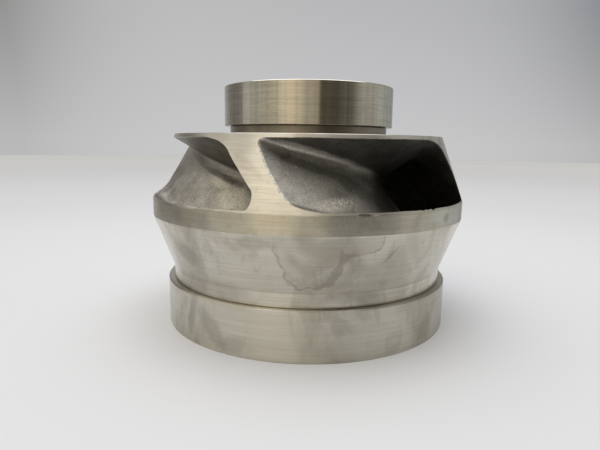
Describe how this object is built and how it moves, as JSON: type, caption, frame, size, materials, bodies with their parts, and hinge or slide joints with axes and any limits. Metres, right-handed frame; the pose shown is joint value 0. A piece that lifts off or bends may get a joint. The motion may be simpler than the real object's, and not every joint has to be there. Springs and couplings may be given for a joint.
{
  "type": "mixed-flow pump impeller",
  "caption": "Closed mixed-flow pump impeller: vaned casting between two shrouds, bored and keyed hub, pressed wear ring at each end.",
  "frame": {"origin": "on the shaft axis, in the plane of the suction ring's lower face that the impeller stands on", "axes": "+Z along the shaft axis from the suction eye to the driven side; +X through the keyway; the vane tip seen at the front in the picture is near -Y"},
  "size_m": [0.2, 0.2, 0.1479],
  "materials": {
    "casting": "turned outside, as cast in the passages",
    "front_ring": "turned",
    "back_ring": "fine turned"
  },
  "bodies": {
    "root": {"impeller_casting": "casting", "front_wear_ring": "front_ring", "back_wear_ring": "back_ring"}
  },
  "joints": []
}
